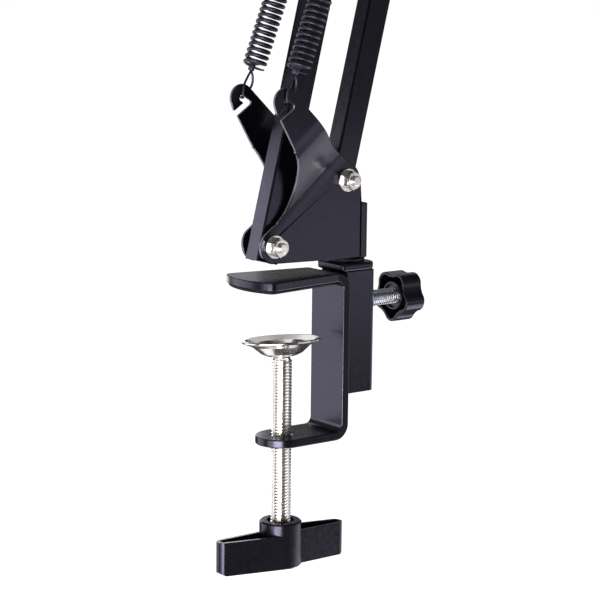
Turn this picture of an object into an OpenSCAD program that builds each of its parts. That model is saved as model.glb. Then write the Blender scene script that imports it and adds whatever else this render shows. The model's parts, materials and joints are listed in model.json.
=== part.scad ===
// Desk-clamp boom arm with two spring-balanced parallelogram arms.
// Frame: origin on the underside of the jaw pad, over the clamp screw's axis.
// X runs from the open jaw to the thumb knob, Y across the arm, Z up. Millimetres.

/* [Clamp] */
// width of the clamp strap
strap_w = 25; // [22:0.5:28]
// thickness of the clamp strap
strap_t = 4; // [3.5:0.25:5]
// screw axis to the strap's inner face
throat = 27.3; // [26:0.1:32]
// clear height between the jaw pad and the lower arm
jaw_gap = 71.8; // [68:0.2:80]
// inner bend radius of the strap
bend_r = 3.5; // [3:0.25:5]
// thickness of the jaw pad
pad_t = 1.6; // [1.2:0.1:1.8]
// half width of the jaw at its open end
jaw_half = 18.6; // [16:0.2:20]
// clamp screw radius
screw_r = 4.925; // [4.9:0.005:4.95]
// overall length of the T-handle
handle_l = 71.6; // [60:0.2:80]
// radius of the pressure pad
dish_r = 19; // [17:0.5:20]
// tilt of the pressure pad at rest, in degrees
dish_tilt = 5.5; // [4:0.5:6]

/* [Holder] */
// width of the holder channel across the arm
holder_w = 20; // [19:0.5:22]
// height of the thumb screw's axis
thumb_z = -10.8; // [-14:0.2:-9]
// outer radius of the thumb knob
knob_r = 12.8; // [12:0.1:14]

/* [Arms] */
// pivot to pivot length of the bars
bar_l = 338; // [300:1:360]
// depth of a bar
bar_d = 12.5; // [11:0.5:13]
// width of a bar
bar_w = 10; // [9.6:0.1:10]
// wall of a bar
bar_wall = 1.2; // [1:0.1:1.5]
// lean of the lower arm from vertical, in degrees
lower_lean = 14; // [12:0.5:16]
// rise of the upper arm above level, in degrees
upper_rise = 15; // [12:0.5:18]
// spring wire diameter
wire_d = 1.4; // [1.2:0.1:1.6]
// hook wire diameter
hook_d = 1.1; // [0.9:0.1:1.2]
// spring outer diameter
coil_d = 11; // [10:0.2:11.6]

/* [Hidden] */
$fn = 48;
// base pivots: A in front, C behind, H the spring seat in the hook plates
A = [-10.8, 20.6];
C = [32.3, 49.4];
H = [-12.1, 88.5];
post_x = 38.8;
sheet_t = 1.6;
lo_in = 6.1;
lo_out = lo_in + sheet_t;
hi_in = 16;
hi_out = hi_in + sheet_t;
hook_y = (hi_in + hi_out) / 2;
ul = [sin(lower_lean), cos(lower_lean)];
uu = [-cos(upper_rise), sin(upper_rise)];
A2 = A + bar_l * ul;
C2 = C + bar_l * ul;
// elbow pivots: E carries the sprung top bar, F the bottom bar, K the spring seat
E = A2 + [10, 72];
F = E + [-6, -36];
K = E + [0, 60];
E2 = E + bar_l * uu;
F2 = F + bar_l * uu;
T = F2 + [-22, 8];
S = A + 190 * ul;
U = E + 190 * uu;
bolt_r = 2.45;
hole_r = 2.52;
wire_r = wire_d / 2;
hook_r = hook_d / 2;
coil_m = coil_d / 2 - wire_r;
in_x = throat - bend_r;
out_x = throat + strap_t;
ch_x = 49.3;
black = [0.07, 0.07, 0.08];
rubber = [0.04, 0.04, 0.04];
plastic = [0.1, 0.1, 0.1];
chrome = [0.8, 0.78, 0.75];
nylon = [0.15, 0.15, 0.16];
brass = [0.7, 0.55, 0.25];

// ---- helpers ----
function tan_in(p, q) = let(d = [q[0] - p[0], q[1] - p[1]], l = norm(d),
    a = atan2(d[1], d[0]) - acos((p[2] - q[2]) / l))
    [[p[0] + p[2] * cos(a), p[1] + p[2] * sin(a)], [q[0] + q[2] * cos(a), q[1] + q[2] * sin(a)]];
// the straight edges run 0.02 inside the true tangents, so each one crosses its circle cleanly
function shy(c) = [c[0], c[1], max(0, c[2] - 0.02)];
function loop(v) = [for (i = [0 : len(v) - 1]) each tan_in(shy(v[i]), shy(v[(i + 1) % len(v)]))];
// convex outline round circles [x, y, r] listed counter-clockwise
module round_hull(v) {
    polygon(loop(v));
    for (c = v) if (c[2] > 0) translate([c[0], c[1]]) circle(c[2]);
}
// a drawing in X and Z, made solid from y0 to y1
module xz(y0, y1) translate([0, y1, 0]) rotate([90, 0, 0]) linear_extrude(y1 - y0) children();
// a cylinder along Y at p, from y0 to y1
module ycyl(p, r, y0, y1) translate([p[0], y0, p[1]]) rotate([-90, 0, 0]) cylinder(r = r, h = y1 - y0);
module mirror_y() { children(); mirror([0, 1, 0]) children(); }

// ---- clamp ----
// the open end is one arc about [14.4, 0], met by a rounded corner at each side
module jaw_plan(inset, x_end) {
    c = 14.4; rc = 4.5; rr = 34.5;
    a = asin((jaw_half - rc) / rr);
    round_hull([
        [x_end, -strap_w / 2 + inset, 0], [x_end, strap_w / 2 - inset, 0],
        [c - rr * cos(a), rr * sin(a), rc - inset], [c - rr * cos(a), -rr * sin(a), rc - inset]]);
    intersection() {
        translate([c, 0]) circle(rr + rc - inset - 0.02);
        polygon([[c, 0], [c - 60 * cos(a), 60 * sin(a)], [c - 60 * cos(a), -60 * sin(a)]]);
    }
}

module clamp_frame() color(black) difference() {
    union() {
        translate([0, 0, pad_t]) linear_extrude(strap_t) jaw_plan(0, in_x);
        for (m = [0, 1]) translate([in_x, 0, m == 0 ? pad_t - bend_r : -jaw_gap + bend_r])
            xz(-strap_w / 2, strap_w / 2) intersection() {
                difference() { circle(bend_r + strap_t); circle(bend_r); }
                translate([0, m == 0 ? 0 : -20]) square([20, 20]);
            }
        translate([throat, -strap_w / 2, -jaw_gap + bend_r]) cube([strap_t, strap_w, jaw_gap + pad_t - 2 * bend_r]);
        translate([0, 0, -jaw_gap - strap_t]) linear_extrude(strap_t) {
            circle(strap_w / 2);
            translate([0, -strap_w / 2]) square([in_x, strap_w]);
        }
    }
    translate([0, 0, -jaw_gap - strap_t - 1]) cylinder(r = 5, h = strap_t + 2);
}

module jaw_pad() color(rubber) linear_extrude(pad_t) jaw_plan(1.2, in_x - 1.4);

module holder_channel() color(black) difference() {
    translate([0, 0, -54.3]) linear_extrude(59.7) difference() {
        round_hull([[out_x, -holder_w / 2, 0], [ch_x - 3, -holder_w / 2 + 3, 3], [ch_x - 3, holder_w / 2 - 3, 3], [out_x, holder_w / 2, 0]]);
        round_hull([[out_x - 1, -holder_w / 2 + 1.8, 0], [ch_x - 3, -holder_w / 2 + 3, 1.2], [ch_x - 3, holder_w / 2 - 3, 1.2], [out_x - 1, holder_w / 2 - 1.8, 0]]);
    }
    translate([ch_x - 5, 0, thumb_z]) rotate([0, 90, 0]) cylinder(r = 4, h = 10);
}

module post_bushing() color(plastic) difference() {
    union() {
        translate([0, 0, -54]) linear_extrude(59.4)
            round_hull([[out_x + 0.2, -holder_w / 2 + 2, 0], [ch_x - 3.2, -holder_w / 2 + 3.2, 1.2], [ch_x - 3.2, holder_w / 2 - 3.2, 1.2], [out_x + 0.2, holder_w / 2 - 2, 0]]);
        translate([0, 0, 5.4]) linear_extrude(4)
            round_hull([[30.2, -8.3, 2], [ch_x + 0.3 - 5, -5.3, 5], [ch_x + 0.3 - 5, 5.3, 5], [30.2, 8.3, 2]]);
    }
    translate([post_x, 0, -55]) cylinder(r = 6.08, h = 70);
    translate([post_x, 0, thumb_z]) rotate([0, 90, 0]) cylinder(r = 4.3, h = 12);
}

// ---- clamp screw ----
module clamp_screw() color(chrome) difference() {
    rotate_extrude() polygon([[0, -128], [screw_r - 1, -128], [screw_r, -127], [screw_r, -35.2], [screw_r - 1.2, -34], [0, -34]]);
    translate([0, 0, -41]) cylinder(r = 2.36, h = 10);
}

module pad_rivet() color(chrome) rotate_extrude()
    polygon([[0, -40.4], [2.3, -40.4], [2.3, -31.2], [5, -31.2], [5, -30.7], [4.2, -29.9], [2.4, -29.3], [0, -29.1]]);

module pressure_pad() color(chrome) translate([0, 0, -32.6]) rotate([-dish_tilt, 0, 0]) translate([0, 0, 32.6])
    rotate_extrude() polygon([[3.2, -33.2], [7.2, -33.2], [9.9, -32], [14.1, -28.4], [dish_r - 0.6, -26.6], [dish_r, -26.2],
        [dish_r, -25.6], [dish_r - 0.5, -25.2], [dish_r - 1.4, -25.3], [13.4, -27.1], [9.2, -30.8], [6.8, -32], [3.2, -32]]);

// each wing has one face along X and one that runs into the hub's side, the other wing turned half round
module wing_plan(n) for (k = [0, 180]) rotate(k) intersection() {
    round_hull([[-handle_l / 2 + 3.3, 1.4, 3.3 - n], [0, 0, 10 - n], [-handle_l / 2 + 3.3, 1.9, 3.3 - n]]);
    translate([-60, -20]) square([60, 25.2 - n]);
}
module t_handle() color(plastic) difference() {
    union() {
        rotate_extrude() polygon([[0, -135.9], [9.6, -135.9], [10.2, -135.3], [10.2, -114.6], [9.4, -113.8], [0, -113.8]]);
        intersection() {
            translate([0, 0, -136]) linear_extrude(16.5) wing_plan(0);
            xz(-12, 12) round_hull([[-handle_l / 2 + 3.4, -132.4, 3.5], [handle_l / 2 - 3.4, -132.4, 3.5], [handle_l / 2 + 0.1, -110, 0], [-handle_l / 2 - 0.1, -110, 0]]);
        }
    }
    translate([0, 0, -128]) cylinder(r = screw_r, h = 20);
    translate([0, 0, -117.4]) cylinder(r = 6.6, h = 10);
    translate([0, 0, -133.4]) linear_extrude(20) difference() {
        wing_plan(1.6);
        circle(10.25);
    }
}

// ---- thumb screw ----
module thumb_screw() color(chrome) translate([47.1, 0, thumb_z]) rotate([0, 90, 0])
    rotate_extrude() polygon([[0, 0], [3.2, 0], [3.94, 0.8], [3.94, 28.9], [0, 28.9]]);

module thumb_tip() color(brass) translate([44.9, 0, thumb_z]) rotate([0, 90, 0])
    rotate_extrude() polygon([[0, 0], [2.6, 0], [3.1, 0.5], [3.1, 2.1], [0, 2.1]]);

// five broad lobes joined by shallow hollows
knob_l = knob_r - 5.2;
knob_v = knob_l * cos(36) + sqrt(pow(13.7, 2) - pow(knob_l * sin(36), 2));
function knob_tan(n, s) = let(l = [knob_l, 0], v = knob_v * [cos(36), s * sin(36)]) l + (5.2 - n) * (v - l) / norm(v - l);
function turned(p, a) = [p[0] * cos(a) - p[1] * sin(a), p[0] * sin(a) + p[1] * cos(a)];
module knob_plan(n) difference() {
    union() {
        polygon([for (k = [0 : 4]) each [turned(knob_tan(n, -1), 72 * k), turned(knob_tan(n, 1), 72 * k)]]);
        for (k = [0 : 4]) rotate(k * 72) translate([knob_l, 0]) circle(5.2 - n);
    }
    for (k = [0 : 4]) rotate(k * 72 + 36) translate([knob_v, 0]) circle(8.52 + n);
}
module thumb_knob() color(plastic) translate([67.3, 0, thumb_z]) rotate([0, 90, 0]) rotate([0, 0, -1]) difference() {
    union() {
        linear_extrude(11.4) knob_plan(0);
        translate([0, 0, 11.4]) linear_extrude(0.8) knob_plan(0.8);
    }
    translate([0, 0, -1]) linear_extrude(10.6) difference() { knob_plan(1.5); circle(7.1); }
    translate([0, 0, -1]) cylinder(r = 7.6, h = 1.7);
    translate([0, 0, -1]) cylinder(r = 5.8, h = 3);
    translate([0, 0, -1]) cylinder(r = 3.94, h = 9.7);
}

// ---- base ----
// direction across the splay bends of the base hook plates
sn = [-0.632, 0.775];
// a sheet section that steps outward from y = a to y = b over d0 to d1
function step_pts(a, b, d0, d1, t) = [[-60, a], [d0, a], [d1, b], [90, b], [90, b + t], [d1 - 0.3, b + t], [d0 - 0.3, a + t], [-60, a + t]];

module base_outline() {
    lobe = [-12.4, 88.3, 6.6];
    waist = [17, 63.2, 5];
    neck = [0.93, 66.2, 6.6];
    difference() {
        union() {
            round_hull([[A[0], A[1], 8.2], [46.5, 11.1, 0], [46.5, 37.6, 0], [C[0], C[1], 7.9]]);
            round_hull([[A[0], A[1], 8.2], [-9.6, 27.3, 3.45]]);
            round_hull([lobe, waist]);
            round_hull([waist, [C[0], C[1], 7.9]]);
            round_hull([lobe, neck]);
            round_hull([lobe, [-16, 84, 1.75]]);
            polygon([A, C, [17, 63.2], [-10, 86], [-4, 70], [-7, 63], [-8, 45], [-9.6, 27.3]]);
        }
        translate([-25, 50]) circle(24);
        round_hull([[-19.5, 78.7, 1.45], [-8.8, 85.9, 1.45]]);
        round_hull([[-12.4, 88.2, 1.35], [-8.8, 85.9, 1.35]]);
        translate(A) circle(hole_r);
        translate(C) circle(hole_r);
    }
}

module base_bracket() color(black) {
    intersection() {
        mirror_y() rotate([0, atan2(-sn[1], sn[0]), 0]) translate([0, 0, -80]) linear_extrude(160)
            polygon(step_pts(lo_in, hi_in, 32, 52.2, sheet_t));
        difference() {
            xz(-30, 30) base_outline();
            translate([41, -20, 0]) cube([20, 40, 60]);
        }
    }
    translate([0, 0, 11.1]) linear_extrude(26.5) difference() {
        round_hull([[post_x, -lo_out, 0], [46.5 - 3, -lo_out + 3, 3], [46.5 - 3, lo_out - 3, 3], [post_x, lo_out, 0]]);
        round_hull([[post_x - 1, -lo_in, 0], [46.5 - 3, -lo_in + 1.4, 1.4], [46.5 - 3, lo_in - 1.4, 1.4], [post_x - 1, lo_in, 0]]);
    }
}

module swivel_post() color(black) translate([post_x, 0, 0])
    rotate_extrude() polygon([[0, -50], [5.2, -50], [6, -49.2], [6, 37], [5.4, 37.6], [0, 37.6]]);

module thrust_washer() color(nylon) translate([post_x, 0, 9.5]) linear_extrude(1.5) difference() { circle(8.6); circle(6.02); }

// ---- pivots ----
module pivot_bolt(p) {
    ycyl(p, bolt_r, -14.8, 9);
    ycyl(p, bolt_r - 0.4, -15.2, -14.8);
    difference() {
        union() { ycyl(p, 4.4, 8.75, 10.6); ycyl(p, 3.9, 10.6, 11.4); }
        translate([p[0], 10, p[1]]) rotate([-90, 0, 0]) cylinder(r = 1.75, h = 3, $fn = 6);
    }
}
module pivot_washers(p) mirror_y() difference() {
    ycyl(p, 5.5, lo_out, lo_out + 1);
    ycyl(p, hole_r, 0, 20);
}
module pivot_nut(p) difference() {
    union() {
        translate([p[0], -12.4, p[1]]) rotate([-90, 0, 0]) rotate([0, 0, 30]) cylinder(r = 4.62, h = 3.7, $fn = 6);
        ycyl(p, 3.9, -13.5, -12.4);
    }
    ycyl(p, bolt_r, -20, 0);
}
module pivot_spacers(p) mirror_y() difference() {
    ycyl(p, 5.2, bar_w / 2 + 0.05, lo_in - 0.03);
    ycyl(p, hole_r, 0, 20);
}

module base_bolts() color(chrome) { pivot_bolt(A); pivot_bolt(C); }
module base_washers() color(chrome) { pivot_washers(A); pivot_washers(C); }
module base_nuts() color(chrome) { pivot_nut(A); pivot_nut(C); }
module base_spacers() color(nylon) { pivot_spacers(A); pivot_spacers(C); }
module elbow_bolts() color(chrome) { pivot_bolt(A2); pivot_bolt(C2); pivot_bolt(E); pivot_bolt(F); }
module elbow_washers() color(chrome) { pivot_washers(A2); pivot_washers(C2); pivot_washers(E); pivot_washers(F); }
module elbow_nuts() color(chrome) { pivot_nut(A2); pivot_nut(C2); pivot_nut(E); pivot_nut(F); }
module elbow_spacers() color(nylon) { pivot_spacers(A2); pivot_spacers(C2); pivot_spacers(E); pivot_spacers(F); }
module head_bolts() color(chrome) { pivot_bolt(E2); pivot_bolt(F2); }
module head_washers() color(chrome) { pivot_washers(E2); pivot_washers(F2); }
module head_nuts() color(chrome) { pivot_nut(E2); pivot_nut(F2); }
module head_spacers() color(nylon) { pivot_spacers(E2); pivot_spacers(F2); }

// ---- bars ----
// a rounded tube from p along an angle ang (from +Z towards +X), with its pivot holes
module bar(p, ang, pin) color(black) difference() {
    translate([p[0], 0, p[1]]) rotate([0, ang, 0]) translate([0, 0, -8]) linear_extrude(bar_l + 16) difference() {
        a = bar_d / 2 - 1; b = bar_w / 2 - 1;
        round_hull([[-a, -b, 1], [a, -b, 1], [a, b, 1], [-a, b, 1]]);
        square([bar_d - 2 * bar_wall, bar_w - 2 * bar_wall], center = true);
    }
    d = [sin(ang), cos(ang)];
    ycyl(p, hole_r, -20, 20);
    ycyl(p + bar_l * d, hole_r, -20, 20);
    if (pin) ycyl(p + 190 * d, 2, -20, 20);
}
module spring_pin(p) color(chrome) { ycyl(p, 2, -21.4, 21.4); ycyl(p, 3.6, -22.8, -21.4); ycyl(p, 3.6, 21.4, 22.8); }
module pin_sleeves(p) color(nylon) mirror_y() difference() { ycyl(p, 3.4, bar_w / 2, 15.2); ycyl(p, 2, 0, 30); }

module lower_front_bar() bar(A, lower_lean, true);
module lower_rear_bar() bar(C, lower_lean, false);
module upper_top_bar() bar(E, upper_rise - 90, true);
module upper_bottom_bar() bar(F, upper_rise - 90, false);
module lower_spring_pin() spring_pin(S);
module upper_spring_pin() spring_pin(U);
module lower_pin_sleeves() pin_sleeves(S);
module upper_pin_sleeves() pin_sleeves(U);

// ---- springs ----
// the spring's own frame: seat at the origin, length along +Z
module at_spring(h, s) translate([h[0], 0, h[1]]) rotate([0, atan2(s[0] - h[0], s[1] - h[1]), 0]) children();
// a bent wire through a list of points
module wire(v) for (i = [0 : len(v) - 1]) {
    translate(v[i]) sphere(hook_r + 0.02, $fn = 24);
    if (i > 0) let(d = v[i] - v[i - 1]) translate(v[i - 1])
        rotate([0, acos(d[2] / norm(d)), atan2(d[1], d[0])]) cylinder(r = hook_r, h = norm(d), $fn = 24);
}
// the open coil, its plug, and a wire loop that passes through the seat hole
module spring_body(len, z0) {
    z1 = len - 21.6; n = floor((z1 - z0) / 2.7); p = (z1 - z0) / n; w = coil_m - wire_r; q = z0 - 16.5;
    rotate_extrude() polygon([[0, z0 - 3.2], [1.5, z0 - 3.2], [1.5, z0 - 0.6],
        for (k = [0 : n]) each [[coil_m + 0.1, z0 + k * p - 0.6], [coil_m + wire_r, z0 + k * p], [coil_m + 0.1, z0 + k * p + 0.6]],
        [w, z1 + 0.6], [w, z0 + 0.2], [0, z0 + 0.2]]);
    wire([[0, -0.3, 13.6 + q], [-1, -0.8, 10.5 + q], [-2.1, -1.5, 6], [-1.6, -1.5, 3], [0, -1.5, 0],
        [0, 1.5, 0], [2.8, 1.5, 2.6], [4, 1.5, 6], [3.9, 1.2, 9 + q], [2.2, 0.7, 12 + q], [0, 0.3, 13.6 + q]]);
}
module spring_eye(len) {
    z1 = len - 19.8;
    for (s = [-1, 1]) translate([coil_m * s, 0, z1]) cylinder(r = wire_r, h = 18, $fn = 16);
    translate([0, 0, len - 1.8]) rotate([90, 0, 0]) rotate_extrude(angle = 180) translate([coil_m, 0]) circle(wire_r, $fn = 16);
    translate([0, 0, z1]) rotate_extrude() translate([coil_m, 0]) circle(wire_r, $fn = 16);
}
module lower_springs() color(black) at_spring(H, S) for (s = [-1, 1]) translate([0, hook_y * s, 0]) spring_body(norm(S - H), 16.5);
module lower_spring_eyes() color(black) at_spring(H, S) for (s = [-1, 1]) translate([0, hook_y * s, 0]) spring_eye(norm(S - H));
module upper_springs() color(black) at_spring(K, U) for (s = [-1, 1]) translate([0, hook_y * s, 0]) spring_body(norm(U - K), 20);
module upper_spring_eyes() color(black) at_spring(K, U) for (s = [-1, 1]) translate([0, hook_y * s, 0]) spring_eye(norm(U - K));

// ---- elbow ----
module elbow_outline() difference() {
    union() {
        round_hull([[A2[0], A2[1], 9], [C2[0], C2[1], 9], [E[0], E[1], 9], [F[0], F[1], 9]]);
        round_hull([[E[0] + 1, E[1], 8.5], [K[0] + 1, K[1], 6.6]]);
    }
    translate(K) circle(1.45);
    for (p = [A2, C2, E, F]) translate(p) circle(hole_r);
}
module elbow_plate() color(black) intersection() {
    xz(0, 30) elbow_outline();
    translate([0, 0, E[1]]) rotate([0, -90, 0]) translate([0, 0, -200]) linear_extrude(400)
        polygon([[-100, lo_in], [15, lo_in], [38, hi_in], [80, hi_in], [80, hi_out], [37.7, hi_out], [14.7, lo_out], [-100, lo_out]]);
}
module elbow_plate_left() elbow_plate();
module elbow_plate_right() mirror([0, 1, 0]) elbow_plate();

// ---- head ----
module head_plate() color(black) xz(lo_in, lo_out) difference() {
    round_hull([[F2[0], F2[1], 8.5], [E2[0], E2[1], 8.5], [T[0], T[1], 9]]);
    for (p = [E2, F2]) translate(p) circle(hole_r);
    translate(T) circle(3.02);
}
module head_plate_left() head_plate();
module head_plate_right() mirror([0, 1, 0]) head_plate();

module tilt_block() color(black) difference() {
    union() {
        xz(-6, 6) round_hull([[T[0] - 16, T[1], 7.4], [T[0], T[1], 7.4]]);
        translate([T[0] - 24, 0, T[1] - 8.5]) cylinder(r = 11, h = 16);
        translate([T[0] - 24, 0, T[1] + 7.5]) cylinder(r1 = 11, r2 = 10, h = 1);
        translate([T[0] - 24, 0, T[1] - 9.5]) cylinder(r1 = 10, r2 = 11, h = 1);
    }
    ycyl(T, 3.02, -20, 20);
    translate([T[0] - 24, 0, T[1] - 1]) cylinder(r = 5, h = 20);
}
module mic_stud() color(chrome) translate([T[0] - 24, 0, T[1]]) rotate_extrude()
    polygon([[0, -1], [5, -1], [5, 8.5], [9, 8.5], [9, 10.3], [7.3, 10.3], [7.3, 11.3], [7.94, 12], [7.94, 25.2], [7, 26.2], [0, 26.2]]);
module tilt_bolt() color(chrome) {
    ycyl(T, 2.95, -14.6, 9);
    difference() {
        union() { ycyl(T, 5.2, lo_out, 11.2); ycyl(T, 4.6, 11.2, 12); }
        translate([T[0], 10.2, T[1]]) rotate([-90, 0, 0]) cylinder(r = 2.3, h = 4, $fn = 6);
    }
}
module tilt_knob() color(plastic) translate([T[0], -8.2, T[1]]) rotate([90, 0, 0]) difference() {
    union() {
        cylinder(r = 7.4, h = 2.2);
        translate([0, 0, 2.2]) linear_extrude(9) { circle(8.6); for (k = [0 : 5]) rotate(k * 60) translate([7.6, 0]) circle(3.3); }
        translate([0, 0, 11.2]) cylinder(r1 = 8.6, r2 = 7.8, h = 0.8);
    }
    translate([0, 0, -1]) cylinder(r = 3.02, h = 9);
}

clamp_frame();
jaw_pad();
holder_channel();
post_bushing();
pad_rivet();
clamp_screw();
t_handle();
pressure_pad();
thumb_tip();
thumb_screw();
thumb_knob();
base_bracket();
swivel_post();
thrust_washer();
base_bolts();
base_washers();
base_nuts();
base_spacers();
lower_front_bar();
lower_spring_pin();
lower_pin_sleeves();
lower_rear_bar();
lower_springs();
lower_spring_eyes();
elbow_plate_left();
elbow_plate_right();
elbow_bolts();
elbow_washers();
elbow_nuts();
elbow_spacers();
upper_top_bar();
upper_spring_pin();
upper_pin_sleeves();
upper_bottom_bar();
upper_springs();
upper_spring_eyes();
head_plate_left();
head_plate_right();
head_bolts();
head_washers();
head_nuts();
head_spacers();
tilt_bolt();
tilt_knob();
tilt_block();
mic_stud();
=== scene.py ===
import json
import math
import random

import bmesh
import bpy
from mathutils import Matrix, Vector, noise


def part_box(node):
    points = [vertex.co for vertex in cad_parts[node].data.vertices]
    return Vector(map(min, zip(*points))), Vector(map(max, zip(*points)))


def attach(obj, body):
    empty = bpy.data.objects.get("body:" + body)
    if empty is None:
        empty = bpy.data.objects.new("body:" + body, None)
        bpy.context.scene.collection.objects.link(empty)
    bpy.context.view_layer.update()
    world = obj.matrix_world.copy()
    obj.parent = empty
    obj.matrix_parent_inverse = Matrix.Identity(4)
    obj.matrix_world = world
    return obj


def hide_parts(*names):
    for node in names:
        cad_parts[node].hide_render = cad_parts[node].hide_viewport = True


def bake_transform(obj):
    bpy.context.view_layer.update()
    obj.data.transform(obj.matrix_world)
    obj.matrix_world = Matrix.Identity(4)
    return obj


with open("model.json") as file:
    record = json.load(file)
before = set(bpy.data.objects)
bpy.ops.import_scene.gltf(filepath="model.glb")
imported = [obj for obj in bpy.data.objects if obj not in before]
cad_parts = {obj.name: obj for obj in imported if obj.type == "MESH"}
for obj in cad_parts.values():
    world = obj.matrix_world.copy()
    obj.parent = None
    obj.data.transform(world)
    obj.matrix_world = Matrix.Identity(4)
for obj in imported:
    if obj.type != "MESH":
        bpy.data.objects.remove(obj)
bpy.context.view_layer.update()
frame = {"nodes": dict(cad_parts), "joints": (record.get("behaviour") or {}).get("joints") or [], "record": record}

N = frame["nodes"]
BODIES = frame["record"]["behaviour"]["bodies"]
BODY_OF = {n: b for b, ns in BODIES.items() for n in ns}
SLOT_OF = {s["node"]: s["material_slot"] for s in frame["record"]["subparts"]}
MM = 0.001
scene = bpy.context.scene

# ---------------------------------------------------------------- camera
cam_data = bpy.data.cameras.new("camera")
cam = bpy.data.objects.new("camera", cam_data)
scene.collection.objects.link(cam)
scene.camera = cam
d = Vector((0.60602, 0.77766, -0.16730)).normalized()
r = Vector((0.78982, -0.61325, 0.01043))
r = (r - d * r.dot(d)).normalized()
u = r.cross(d)
m = Matrix((r, u, -d)).transposed().to_4x4()
m.translation = Vector((-0.5670, -0.7411, 0.1519))
cam.matrix_world = m
cam_data.sensor_width = 36.0
cam_data.lens = 120.0
cam_data.clip_start = 0.05
cam_data.clip_end = 60.0

# ---------------------------------------------------------------- light and floor
scene.view_settings.view_transform = "Standard"
scene.view_settings.look = "None"
world = bpy.data.worlds.new("studio")
scene.world = world
world.use_nodes = True
wt = world.node_tree
room = wt.nodes["Background"]
room.inputs[0].default_value = (1.0, 0.99, 1.0, 1.0)
room.inputs[1].default_value = 0.05
sweep = wt.nodes.new("ShaderNodeBackground")
sweep.inputs[0].default_value = (1.0, 1.0, 1.0, 1.0)
sweep.inputs[1].default_value = 1.0
rays = wt.nodes.new("ShaderNodeLightPath")
both = wt.nodes.new("ShaderNodeMixShader")
wt.links.new(rays.outputs["Is Camera Ray"], both.inputs[0])
wt.links.new(room.outputs[0], both.inputs[1])
wt.links.new(sweep.outputs[0], both.inputs[2])
wt.links.new(both.outputs[0], wt.nodes["World Output"].inputs["Surface"])


def area(name, loc, target, size, radiance, colour=(1, 1, 1), size_y=None):
    """A soft panel whose face has the given brightness."""
    size_y = size_y or size
    data = bpy.data.lights.new(name, "AREA")
    data.shape = "RECTANGLE"
    data.size = size
    data.size_y = size_y
    data.energy = radiance * math.pi * size * size_y
    data.color = colour
    o = bpy.data.objects.new(name, data)
    o.location = loc
    o.rotation_mode = "QUATERNION"
    o.rotation_quaternion = (Vector(target) - Vector(loc)).to_track_quat("-Z", "Y")
    o.visible_camera = False
    scene.collection.objects.link(o)
    return o


def wall(name, az0, az1, z0, z1, dist, radiance, colour=(1, 1, 1)):
    """An upright soft panel round the object, from bearing az0 to az1 in degrees and from height z0 to z1."""
    az = math.radians((az0 + az1) / 2)
    c = Vector((dist * math.cos(az), dist * math.sin(az), (z0 + z1) / 2))
    wide = 2 * dist * math.tan(math.radians((az1 - az0) / 2))
    area(name, c, (0, 0, c.z), wide, radiance, colour, z1 - z0)


# a bright softbox on the left front with a dimmer one beside it, low soft panels on the other sides, a small white
# card behind, the pale table below and the pale room high behind
wall("key", 200, 236, -0.60, 0.15, 1.3, 2.2, (1.0, 0.99, 0.98))
wall("key_low", 200, 236, -0.32, -0.13, 0.55, 13.0, (1.0, 0.99, 0.98))
wall("key_side", 171, 200, -0.60, 0.20, 1.3, 3.0, (1.0, 0.99, 0.98))
wall("left_back_low", 106, 152, -0.50, 0.02, 0.9, 1.5, (0.95, 0.94, 1.0))
wall("left_back", 106, 152, 0.02, 0.245, 0.9, 2.3, (0.95, 0.94, 1.0))
wall("left_back_high", 106, 152, 0.245, 0.80, 0.9, 0.12, (0.95, 0.94, 1.0))
wall("front_band", -76, -34, -0.155, -0.005, 0.7, 0.72, (0.97, 0.97, 1.0))
wall("front_wide", -80, -30, -0.60, 0.50, 1.1, 0.14, (0.97, 0.97, 1.0))
wall("right_low", -30, 20, -0.50, -0.115, 0.7, 1.1, (0.97, 0.97, 1.0))
wall("right_high", -30, 20, -0.115, 0.50, 0.7, 0.15, (0.97, 0.97, 1.0))
wall("room_back", 20, 80, 0.30, 1.40, 1.2, 0.5, (0.97, 0.96, 1.0))
area("card", (0.060, 0.267, 0.09), (-0.530, -0.523, 0.09), 0.20, 0.42, (0.96, 0.95, 1.0), 0.15)
area("card_low", (0.060, 0.267, -0.03), (-0.530, -0.523, -0.03), 0.20, 2.6, (0.96, 0.95, 1.0), 0.08)
area("table", (0.0, 0.0, -0.41), (0, 0, 0.0), 0.7, 1.0)
area("table_right", (0.45, -0.25, -0.41), (0.45, -0.25, 0.0), 0.5, 2.9, (0.92, 0.92, 1.0))
area("top", (-0.2, 0.3, 2.2), (0, 0, 0.1), 1.6, 1.0)


def new_mat(name):
    mat = bpy.data.materials.new(name)
    mat.use_nodes = True
    nt = mat.node_tree
    return mat, nt, nt.nodes["Principled BSDF"]


def floor():
    bm = bmesh.new()
    s, n = 14.0, 8
    for i in range(n + 1):
        for j in range(n + 1):
            bm.verts.new((-s + 2 * s * i / n, -s + 2 * s * j / n, -0.42))
    bm.verts.ensure_lookup_table()
    for i in range(n):
        for j in range(n):
            a = i * (n + 1) + j
            bm.faces.new([bm.verts[k] for k in (a, a + n + 1, a + n + 2, a + 1)])
    me = bpy.data.meshes.new("floor")
    bm.to_mesh(me)
    bm.free()
    o = bpy.data.objects.new("floor", me)
    scene.collection.objects.link(o)
    mat, nt, p = new_mat("floor_white")
    p.inputs["Base Color"].default_value = (0.93, 0.93, 0.93, 1)
    p.inputs["Roughness"].default_value = 0.9
    p.inputs["Emission Color"].default_value = (1, 1, 1, 1)
    p.inputs["Emission Strength"].default_value = 1.0
    me.materials.append(mat)
    o.visible_glossy = False
    o.visible_diffuse = False


floor()


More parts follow.
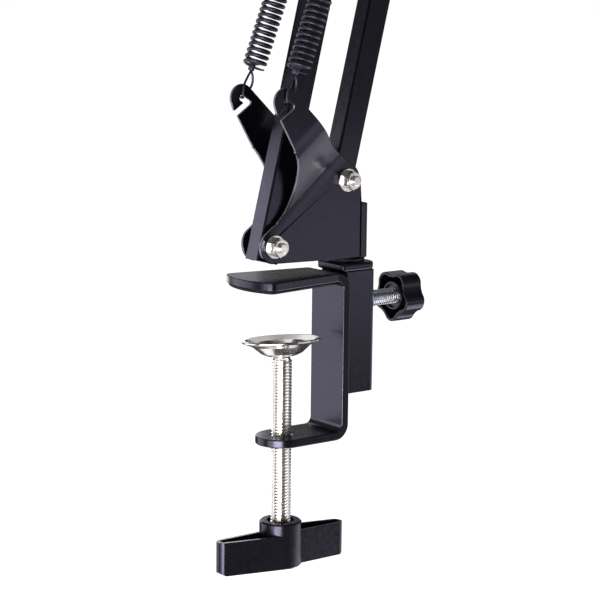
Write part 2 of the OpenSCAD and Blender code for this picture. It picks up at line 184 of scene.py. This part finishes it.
# ---------------------------------------------------------------- materials
class Nodes:
    def __init__(self, nt):
        self.nt = nt
        self.tc = nt.nodes.new("ShaderNodeTexCoord")

    def noise(self, scale, detail=3.0, rough=0.5, stretch=None):
        n = self.nt.nodes.new("ShaderNodeTexNoise")
        n.inputs["Scale"].default_value = scale
        n.inputs["Detail"].default_value = detail
        n.inputs["Roughness"].default_value = rough
        src = self.tc.outputs["Object"]
        if stretch:
            mp = self.nt.nodes.new("ShaderNodeMapping")
            mp.inputs["Scale"].default_value = stretch
            self.nt.links.new(src, mp.inputs[0])
            src = mp.outputs[0]
        self.nt.links.new(src, n.inputs["Vector"])
        return n.outputs["Fac"]

    def ramp(self, fac, stops):
        n = self.nt.nodes.new("ShaderNodeValToRGB")
        e = n.color_ramp.elements
        while len(e) > len(stops):
            e.remove(e[-1])
        while len(e) < len(stops):
            e.new(1.0)
        for el, (pos, col) in zip(e, stops):
            el.position = pos
            el.color = (*col, 1) if len(col) == 3 else col
        self.nt.links.new(fac, n.inputs[0])
        return n.outputs["Color"]

    def to_range(self, fac, lo, hi, flo=0.3, fhi=0.7):
        n = self.nt.nodes.new("ShaderNodeMapRange")
        n.inputs["From Min"].default_value = flo
        n.inputs["From Max"].default_value = fhi
        n.inputs["To Min"].default_value = lo
        n.inputs["To Max"].default_value = hi
        self.nt.links.new(fac, n.inputs["Value"])
        return n.outputs["Result"]

    def bump(self, fac, strength, dist, normal=None):
        n = self.nt.nodes.new("ShaderNodeBump")
        n.inputs["Strength"].default_value = strength
        n.inputs["Distance"].default_value = dist
        self.nt.links.new(fac, n.inputs["Height"])
        if normal is not None:
            self.nt.links.new(normal, n.inputs["Normal"])
        return n.outputs["Normal"]

    def edges(self, lo, hi):
        g = self.nt.nodes.new("ShaderNodeNewGeometry")
        return self.to_range(g.outputs["Pointiness"], 0.0, 1.0, lo, hi)

    def mix(self, fac, a, b):
        n = self.nt.nodes.new("ShaderNodeMix")
        n.data_type = "RGBA"
        self.nt.links.new(fac, n.inputs["Factor"])
        for sock, v in ((n.inputs[6], a), (n.inputs[7], b)):
            if isinstance(v, tuple):
                sock.default_value = (*v, 1)
            else:
                self.nt.links.new(v, sock)
        return n.outputs[2]


def paint(name, dark, light, rough_lo, rough_hi, peel=0.25, spec=0.72, speck=0.10):
    mat, nt, p = new_mat(name)
    k = Nodes(nt)
    col = k.ramp(k.noise(38, 4, 0.55), [(0.35, dark), (0.7, light)])
    fine = k.noise(2600, 2, 0.6)
    col = k.mix(k.to_range(fine, 0.0, 0.12, 0.6, 0.82), col, tuple(min(1, c * 4) for c in light))
    nt.links.new(col, p.inputs["Base Color"])
    nt.links.new(k.to_range(k.noise(260, 3, 0.6), rough_lo, rough_hi), p.inputs["Roughness"])
    n1 = k.bump(k.noise(950, 2, 0.5), peel, 0.00005)
    nt.links.new(k.bump(fine, speck, 0.00002, n1), p.inputs["Normal"])
    p.inputs["Specular IOR Level"].default_value = spec
    p.inputs["Specular Tint"].default_value = (0.74, 0.70, 1.0, 1.0)
    return mat


def metal(name, dark, light, rough_lo, rough_hi, brush=(1, 1, 1), bump=0.1):
    mat, nt, p = new_mat(name)
    k = Nodes(nt)
    col = k.ramp(k.noise(120, 4, 0.6), [(0.3, dark), (0.7, light)])
    nt.links.new(col, p.inputs["Base Color"])
    p.inputs["Metallic"].default_value = 1.0
    line = k.noise(900, 3, 0.6, brush)
    nt.links.new(k.to_range(line, rough_lo, rough_hi), p.inputs["Roughness"])
    nt.links.new(k.bump(line, bump, 0.00003), p.inputs["Normal"])
    return mat


def plastic(name, dark, light, rough_lo, rough_hi, grain=0.25, spec=0.5):
    mat, nt, p = new_mat(name)
    k = Nodes(nt)
    col = k.ramp(k.noise(60, 4, 0.6), [(0.3, dark), (0.75, light)])
    nt.links.new(col, p.inputs["Base Color"])
    tex = k.noise(1900, 3, 0.65)
    nt.links.new(k.to_range(k.noise(420, 3, 0.6), rough_lo, rough_hi), p.inputs["Roughness"])
    nt.links.new(k.bump(tex, grain, 0.00005), p.inputs["Normal"])
    p.inputs["Specular IOR Level"].default_value = spec
    p.inputs["Specular Tint"].default_value = (0.76, 0.72, 1.0, 1.0)
    return mat


MAT = {
    "clamp_paint": paint("clamp_paint", (0.0018, 0.0018, 0.0026), (0.0034, 0.0032, 0.0044), 0.20, 0.29),
    "bracket_paint": paint("bracket_paint", (0.0018, 0.0018, 0.0024), (0.0032, 0.0031, 0.0042), 0.18, 0.25, 0.15),
    "bar_paint": paint("bar_paint", (0.0014, 0.0014, 0.0020), (0.0026, 0.0026, 0.0035), 0.18, 0.26, 0.3),
    "cut_edge": paint("cut_edge", (0.0018, 0.0018, 0.0024), (0.0030, 0.0030, 0.0038), 0.30, 0.42, 0.4, 0.3),
    # much lighter paint for the base bracket's cut edges: a painted highlight standing in for the light those edges
    # catch
    "bracket_edge_painted_highlight": paint("bracket_edge_painted_highlight", (0.15, 0.147, 0.18), (0.26, 0.255, 0.30), 0.30, 0.42, 0.3, 0.6),
    "pad_rubber": plastic("pad_rubber", (0.004, 0.004, 0.005), (0.008, 0.008, 0.010), 0.5, 0.7, 0.5, 0.4),
    "black_plastic": plastic("black_plastic", (0.0045, 0.0045, 0.0064), (0.0075, 0.0075, 0.0104), 0.20, 0.30),
    "nickel": metal("nickel", (0.84, 0.81, 0.78), (0.97, 0.94, 0.91), 0.14, 0.26, (1, 1, 4)),
    "zinc": metal("zinc", (0.93, 0.88, 0.84), (1.0, 0.96, 0.93), 0.20, 0.34, (1, 3, 1)),
    "plated": metal("plated", (0.76, 0.77, 0.84), (0.90, 0.91, 0.98), 0.20, 0.34, (4, 1, 1)),
    "brass": metal("brass", (0.55, 0.38, 0.14), (0.75, 0.56, 0.25), 0.2, 0.34),
    "black_steel": metal("black_steel", (0.03, 0.03, 0.034), (0.07, 0.07, 0.08), 0.3, 0.45),
    "black_cast": paint("black_cast", (0.004, 0.004, 0.005), (0.008, 0.008, 0.010), 0.36, 0.5, 0.7),
    "nylon": plastic("nylon", (0.008, 0.008, 0.010), (0.016, 0.016, 0.019), 0.4, 0.55),
    "spring_black": paint("spring_black", (0.006, 0.006, 0.0085), (0.012, 0.012, 0.016), 0.38, 0.46, 0.08, 1.0, 0.03),
}
for name, o in N.items():
    o.data.materials.clear()
    o.data.materials.append(MAT[SLOT_OF[name]])


# ---------------------------------------------------------------- mesh helpers
def put(me, name, node_or_body, slot, replaces=(), smooth=40, shade=True):
    me.materials.clear()
    me.materials.append(MAT[slot])
    if shade:
        me.shade_smooth()
        me.set_sharp_from_angle(angle=math.radians(smooth))
    o = bpy.data.objects.new(name, me)
    scene.collection.objects.link(o)
    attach(o, BODY_OF.get(node_or_body, node_or_body))
    if replaces:
        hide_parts(*replaces)
    return o


def applied(o):
    """The mesh of an object with its modifiers applied, and the object removed."""
    bpy.context.view_layer.update()
    dg = bpy.context.evaluated_depsgraph_get()
    me = bpy.data.meshes.new_from_object(o.evaluated_get(dg))
    bpy.data.objects.remove(o)
    return me


def even(me, smooth=42):
    """The mesh with flat faces shaded flat and rounded edges shaded round."""
    me.shade_smooth()
    me.set_sharp_from_angle(angle=math.radians(smooth))
    tmp = bpy.data.objects.new("tmp", me)
    scene.collection.objects.link(tmp)
    wn = tmp.modifiers.new("even", "WEIGHTED_NORMAL")
    wn.keep_sharp = True
    wn.weight = 60
    return applied(tmp)


def ease(bm, along, d0, d1, rise, span=0.013, cuts=10):
    """Turn a sheet's two sharp folds into soft bends. The sheet steps outward by rise between d0 and d1 along a
    direction in X and Z, all in metres, and each bend is spread over span."""
    way = Vector((along[0], 0.0, along[1])).normalized()
    for d in (d0, d1):
        for i in range(cuts + 1):
            at = d + span * (i / cuts - 0.5)
            bmesh.ops.bisect_plane(bm, geom=bm.verts[:] + bm.edges[:] + bm.faces[:], plane_co=way * at, plane_no=way, dist=1e-6)

    def height(d, w):
        def total(t):
            if t < d0:
                return 0.0
            if t < d1:
                return 0.5 * rise * (t - d0) ** 2 / (d1 - d0)
            return 0.5 * rise * (d1 - d0) + rise * (t - d1)
        return (total(d + w / 2) - total(d - w / 2)) / w

    for v in bm.verts:
        d = v.co.dot(way)
        if abs(d - d0) < span or abs(d - d1) < span:
            v.co.y += math.copysign(1.0, v.co.y) * (height(d, span) - height(d, 1e-5))


def soften(node, width, segments=2, angle=38, edit=None, smooth=42, clamp=True):
    """The node's shape with its sharp edges rounded to width metres, standing for the node."""
    bm = bmesh.new()
    bm.from_mesh(N[node].data)
    bmesh.ops.remove_doubles(bm, verts=bm.verts, dist=2e-6)
    bmesh.ops.dissolve_degenerate(bm, edges=bm.edges, dist=1e-6)
    bmesh.ops.dissolve_limit(bm, angle_limit=math.radians(0.6), verts=bm.verts, edges=bm.edges)
    if edit:
        edit(bm)
    me = bpy.data.meshes.new(node + "_soft")
    bm.to_mesh(me)
    bm.free()
    tmp = bpy.data.objects.new("tmp", me)
    scene.collection.objects.link(tmp)
    bv = tmp.modifiers.new("round", "BEVEL")
    bv.width = width
    bv.segments = segments
    bv.limit_method = "ANGLE"
    bv.angle_limit = math.radians(angle)
    bv.use_clamp_overlap = clamp
    bv.miter_outer = "MITER_ARC"
    out = even(applied(tmp), smooth)
    return put(out, node + "_shape", node, SLOT_OF[node], (node,), shade=False)


def thread(pitch, r_major, r_minor, z0, z1, cham0=0.0, cham1=0.0, n=40, plain=()):
    """A threaded rod along +Z in metres, with a helical ridge. cham is each end's chamfer depth."""
    prof = [(0.0, r_minor), (0.12, r_minor), (0.44, r_major), (0.62, r_major), (0.94, r_minor)]
    mcount = len(prof)
    turns = int((z1 - z0) / pitch) + 3
    bm = bmesh.new()
    rows = []
    for j in range(turns * mcount):
        f, rad = prof[j % mcount]
        base = z0 - 2 * pitch + pitch * (j // mcount + f)
        row = []
        for i in range(n):
            a = 2 * math.pi * i / n
            z = base + pitch * i / n
            rr = rad
            if cham0:
                rr = min(rr, max(r_minor * 0.5, r_major - cham0 + (z - z0)))
            if cham1:
                rr = min(rr, max(r_minor * 0.5, r_major - cham1 + (z1 - z)))
            row.append(bm.verts.new((rr * math.cos(a), rr * math.sin(a), z)))
        rows.append(row)
    for j in range(len(rows) - 1):
        for i in range(n - 1):
            bm.faces.new((rows[j][i], rows[j][i + 1], rows[j + 1][i + 1], rows[j + 1][i]))
        k = j + mcount
        if k + 1 < len(rows):
            bm.faces.new((rows[j][n - 1], rows[k][0], rows[k + 1][0], rows[j + 1][n - 1]))
    for zc, no in ((z0, (0, 0, -1)), (z1, (0, 0, 1))):
        bmesh.ops.bisect_plane(bm, geom=bm.verts[:] + bm.edges[:] + bm.faces[:], plane_co=(0, 0, zc), plane_no=no, clear_outer=True, dist=1e-8)
        rim = [e for e in bm.edges if e.is_boundary and all(abs(v.co.z - zc) < 1e-7 for v in e.verts)]
        bmesh.ops.holes_fill(bm, edges=rim, sides=0)
    bmesh.ops.recalc_face_normals(bm, faces=bm.faces)
    return bm


def to_mesh(bm, name, mat=Matrix.Identity(4)):
    bm.transform(mat)
    me = bpy.data.meshes.new(name)
    bm.to_mesh(me)
    bm.free()
    return me


def tube(bm, path, rad, sides=10, closed_ends=True):
    """A tube swept along a path of Vectors, with parallel-transport frames and capped ends."""
    t = [(path[min(i + 1, len(path) - 1)] - path[max(i - 1, 0)]).normalized() for i in range(len(path))]
    up = Vector((0.3, 0.5, 0.81))
    nrm = (up - t[0] * up.dot(t[0])).normalized()
    rings = []
    for i, p in enumerate(path):
        nrm = (nrm - t[i] * nrm.dot(t[i])).normalized()
        b = t[i].cross(nrm)
        rr = rad[i] if isinstance(rad, list) else rad
        rings.append([bm.verts.new(p + (nrm * math.cos(2 * math.pi * k / sides) + b * math.sin(2 * math.pi * k / sides)) * rr) for k in range(sides)])
    for a, c in zip(rings, rings[1:]):
        for k in range(sides):
            bm.faces.new((a[k], a[(k + 1) % sides], c[(k + 1) % sides], c[k]))
    if closed_ends:
        bm.faces.new(rings[0][::-1])
        bm.faces.new(rings[-1])


# ---------------------------------------------------------------- springs
def frame_at(h, s):
    """Matrix from the spring's own frame (seat at the origin, length along +Z) to the row frame."""
    ang = math.atan2(s[0] - h[0], s[1] - h[1])
    return Matrix.Translation((h[0] * MM, 0, h[1] * MM)) @ Matrix.Rotation(ang, 4, "Y")


def curve_through(pts, steps):
    """A smooth line of Vectors through pts, in metres."""
    pts = [Vector(p) for p in pts]
    ext = [pts[0] * 2 - pts[1]] + pts + [pts[-1] * 2 - pts[-2]]
    out = []
    for i in range(1, len(ext) - 2):
        p0, p1, p2, p3 = ext[i - 1:i + 3]
        for k in range(steps):
            t = k / steps
            out.append(0.5 * (2 * p1 + (p2 - p0) * t + (2 * p0 - 5 * p1 + 4 * p2 - p3) * t * t + (3 * p1 - 3 * p2 + p3 - p0) * t ** 3))
    out.append(pts[-1])
    return [p * MM for p in out]


def lathe(bm, prof, sides=24):
    """A turned solid about the local Z axis from (r, z) points in millimetres, closed at both ends on the axis."""
    rows = []
    for rr, z in prof:
        if rr < 1e-6:
            rows.append([bm.verts.new((0, 0, z * MM))])
        else:
            rows.append([bm.verts.new((rr * MM * math.cos(2 * math.pi * k / sides), rr * MM * math.sin(2 * math.pi * k / sides), z * MM)) for k in range(sides)])
    for a, c in zip(rows, rows[1:]):
        for k in range(sides):
            k2 = (k + 1) % sides
            if len(a) == 1:
                bm.faces.new((a[0], c[k2], c[k]))
            elif len(c) == 1:
                bm.faces.new((a[k], a[k2], c[0]))
            else:
                bm.faces.new((a[k], a[k2], c[k2], c[k]))


def coil_path(length, z0, mean, pitch, lean):
    """The coil from its thin ground tip up to the long eye, with each point's wire radius as a share."""
    z1 = length - 21.6
    first = math.radians(-37.8)
    tip = z0 - 1.0
    turns = math.floor((z1 - tip) / pitch) + (-first % (2 * math.pi)) / (2 * math.pi)
    steps = int(turns * 26)
    pts, share = [], []
    for i in range(steps + 1):
        f = i / steps
        a = first + 2 * math.pi * turns * f
        grow = max(0.0, (f - 0.9) / 0.1)
        rr = mean + (4.8 - mean) * grow
        pts.append((lean * (1 - f) + rr * math.cos(a), rr * math.sin(a), tip + (z1 - tip) * f))
        share.append(min(1.0, 0.5 + 0.5 * turns * f / 0.6))
    for f in (0.25, 0.5, 0.75, 1.0):
        pts.append((4.8, 0.0, z1 + (length - 1.8 - z1) * f))
    for i in range(1, 15):
        a = math.pi * i / 14
        pts.append((4.8 * math.cos(a), 0.0, length - 1.8 + 4.8 * math.sin(a)))
    for f in (0.75, 0.5, 0.25, 0.08):
        pts.append((-4.8, 0.0, z1 + (length - 1.8 - z1) * f))
    share += [1.0] * (len(pts) - len(share))
    return [Vector(p) * MM for p in pts], share


def spring_pair(prefix, h, s, z0):
    length = math.hypot(s[0] - h[0], s[1] - h[1])
    mat = frame_at(h, s)
    q = z0 - 16.5
    loop = [(0, -0.45, 14.4 + q), (0, -0.4, 13.4 + q), (-1, -0.8, 10.5 + q), (-2.1, -1.5, 6), (-1.6, -1.5, 3), (-0.7, -1.45, 0.9), (0, -0.95, -0.1),
            (0, 0.95, -0.1), (1.2, 1.45, 0.9), (2.8, 1.5, 2.6), (4, 1.5, 6), (3.9, 1.2, 9 + q), (2.2, 0.7, 12 + q), (0.3, 0.45, 13.5 + q), (0, 0.45, 14.4 + q)]
    for side, tag in ((-1, "near"), (1, "far")):
        bm = bmesh.new()
        path, share = coil_path(length, z0, 4.85, 2.8, 1.0)
        tube(bm, path, [0.86 * MM * k for k in share], 12)
        tube(bm, curve_through(loop, 6), 0.55 * MM, 10)
        lathe(bm, [(0, z0 - 3.2), (1.15, z0 - 3.2), (1.5, z0 - 2.8), (1.5, z0 - 0.2), (3.6, z0 + 0.9), (3.9, z0 + 1.2), (3.9, z0 + 1.8), (3.5, z0 + 2.1), (0, z0 + 2.1)], 24)
        bmesh.ops.recalc_face_normals(bm, faces=bm.faces)
        me = to_mesh(bm, prefix + tag, Matrix.Translation((0, 16.8 * side * MM, 0)) @ mat)
        o = bpy.data.objects.new(prefix + "_" + tag, me)
        me.materials.append(MAT["spring_black"])
        me.shade_smooth()
        me.set_sharp_from_angle(angle=math.radians(50))
        scene.collection.objects.link(o)
        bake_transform(o)
        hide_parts(prefix, prefix[:-1] + "_eyes")


def pivots():
    """The pivots' places in X and Z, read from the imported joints, in millimetres."""
    out = {}
    for j in frame["joints"]:
        if "pos_m" in j:
            out[j["name"]] = (j["pos_m"][0] / MM, j["pos_m"][2] / MM)
    return out


PV = pivots()
A, C, A2, E, F, E2 = (PV[k] for k in ("lower_arm", "lower_rear_follow", "elbow_level", "upper_arm", "upper_bottom_follow", "head_level"))
H, K, T = PV["lower_spring_swing"], PV["upper_spring_swing"], PV["head_tilt"]
C2 = (C[0] + A2[0] - A[0], C[1] + A2[1] - A[1])
F2 = (F[0] + E2[0] - E[0], F[1] + E2[1] - E[1])


def mid(lo_hi):
    lo, hi = lo_hi
    return ((lo.x + hi.x) / 2 / MM, (lo.z + hi.z) / 2 / MM)


S = mid(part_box("lower_spring_pin"))
U = mid(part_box("upper_spring_pin"))
spring_pair("lower_springs", H, S, 16.5)
spring_pair("upper_springs", K, U, 20.0)


# ---------------------------------------------------------------- threads
def ax_x(x, z):
    return Matrix.Translation((x * MM, 0, z * MM)) @ Matrix.Rotation(math.pi / 2, 4, "Y")


bm = thread(1.5 * MM, 4.92 * MM, 4.10 * MM, -127.9 * MM, -34.0 * MM, 0, 1.2 * MM, 44)
put(to_mesh(bm, "clamp_screw_thread"), "clamp_screw_thread", "screw", "nickel", ("clamp_screw",), 30)
lo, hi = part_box("thumb_screw")
bm = thread(1.25 * MM, 3.93 * MM, 3.25 * MM, 0, hi.x - lo.x, 0.8 * MM, 0, 40)
shank = put(to_mesh(bm, "thumb_screw_thread", ax_x(lo.x / MM, -10.8)), "thumb_screw_thread", "thumb", "nickel", ("thumb_screw",), 30)
shank.data.materials[0] = MAT["plated"]
bm = thread(0.94 * MM, 7.94 * MM, 7.36 * MM, 11.0 * MM, 26.2 * MM, 0, 0.9 * MM, 44)
lathe(bm, [(0, -1), (5, -1), (5, 8.5), (8.7, 8.5), (9, 8.8), (9, 10.0), (8.7, 10.3), (7.3, 10.3), (7.3, 11.4), (0, 11.4)], 44)
bmesh.ops.recalc_face_normals(bm, faces=bm.faces)
put(to_mesh(bm, "mic_stud_thread", Matrix.Translation(((T[0] - 24) * MM, 0, T[1] * MM))), "mic_stud_thread", "mic_stud", SLOT_OF["mic_stud"], ("mic_stud",), 30)

# ---------------------------------------------------------------- softened shells
strap = soften("clamp_frame", 0.0009, 4)
strap.data.materials.append(MAT["cut_edge"])
for f in strap.data.polygons:
    if abs(f.normal.y) > 0.985 and abs(abs(f.center.y) - 0.0125) < 0.0003:
        f.material_index = 1
soften("jaw_pad", 0.0009, 4)
soften("holder_channel", 0.0003, 2)
bracket = soften("base_bracket", 0.0006, 4, 40, lambda bm: ease(bm, (-0.632, 0.775), 0.0319, 0.0521, 0.0099), clamp=False)
# cut edges that face sideways or up, not down, get the lighter paint: a painted highlight on the lit edges
bracket.data.materials.append(MAT["bracket_edge_painted_highlight"])
for f in bracket.data.polygons:
    if abs(f.normal.y) < 0.6 and f.normal.z > -0.55 and (f.center.x < 0.036 or f.center.z > 0.0405):
        f.material_index = 1
for n in ("elbow_plate_left", "elbow_plate_right"):
    soften(n, 0.0006, 4, 40, lambda bm: ease(bm, (0, 1), (E[1] + 14.9) * MM, (E[1] + 37.9) * MM, 0.0099), clamp=False)
for n in ("head_plate_left", "head_plate_right"):
    soften(n, 0.0006, 4)
soften("post_bushing", 0.0013, 5, clamp=False)

soften("t_handle", 0.0006, 3)
soften("thumb_knob", 0.0006, 3)
for n in ("lower_front_bar", "lower_rear_bar", "upper_top_bar", "upper_bottom_bar"):
    soften(n, 0.00015, 2)
for n in ("tilt_block", "tilt_knob"):
    soften(n, 0.0004, 2)
for g in ("base", "elbow", "head"):
    soften(g + "_nuts", 0.00018, 2)
    soften(g + "_washers", 0.00018, 2)
    soften(g + "_bolts", 0.00025, 2)
    soften(g + "_spacers", 0.0002, 2)
for n in ("thrust_washer", "tilt_bolt", "swivel_post", "lower_spring_pin", "upper_spring_pin", "pad_rivet", "thumb_tip"):
    soften(n, 0.0002, 2)
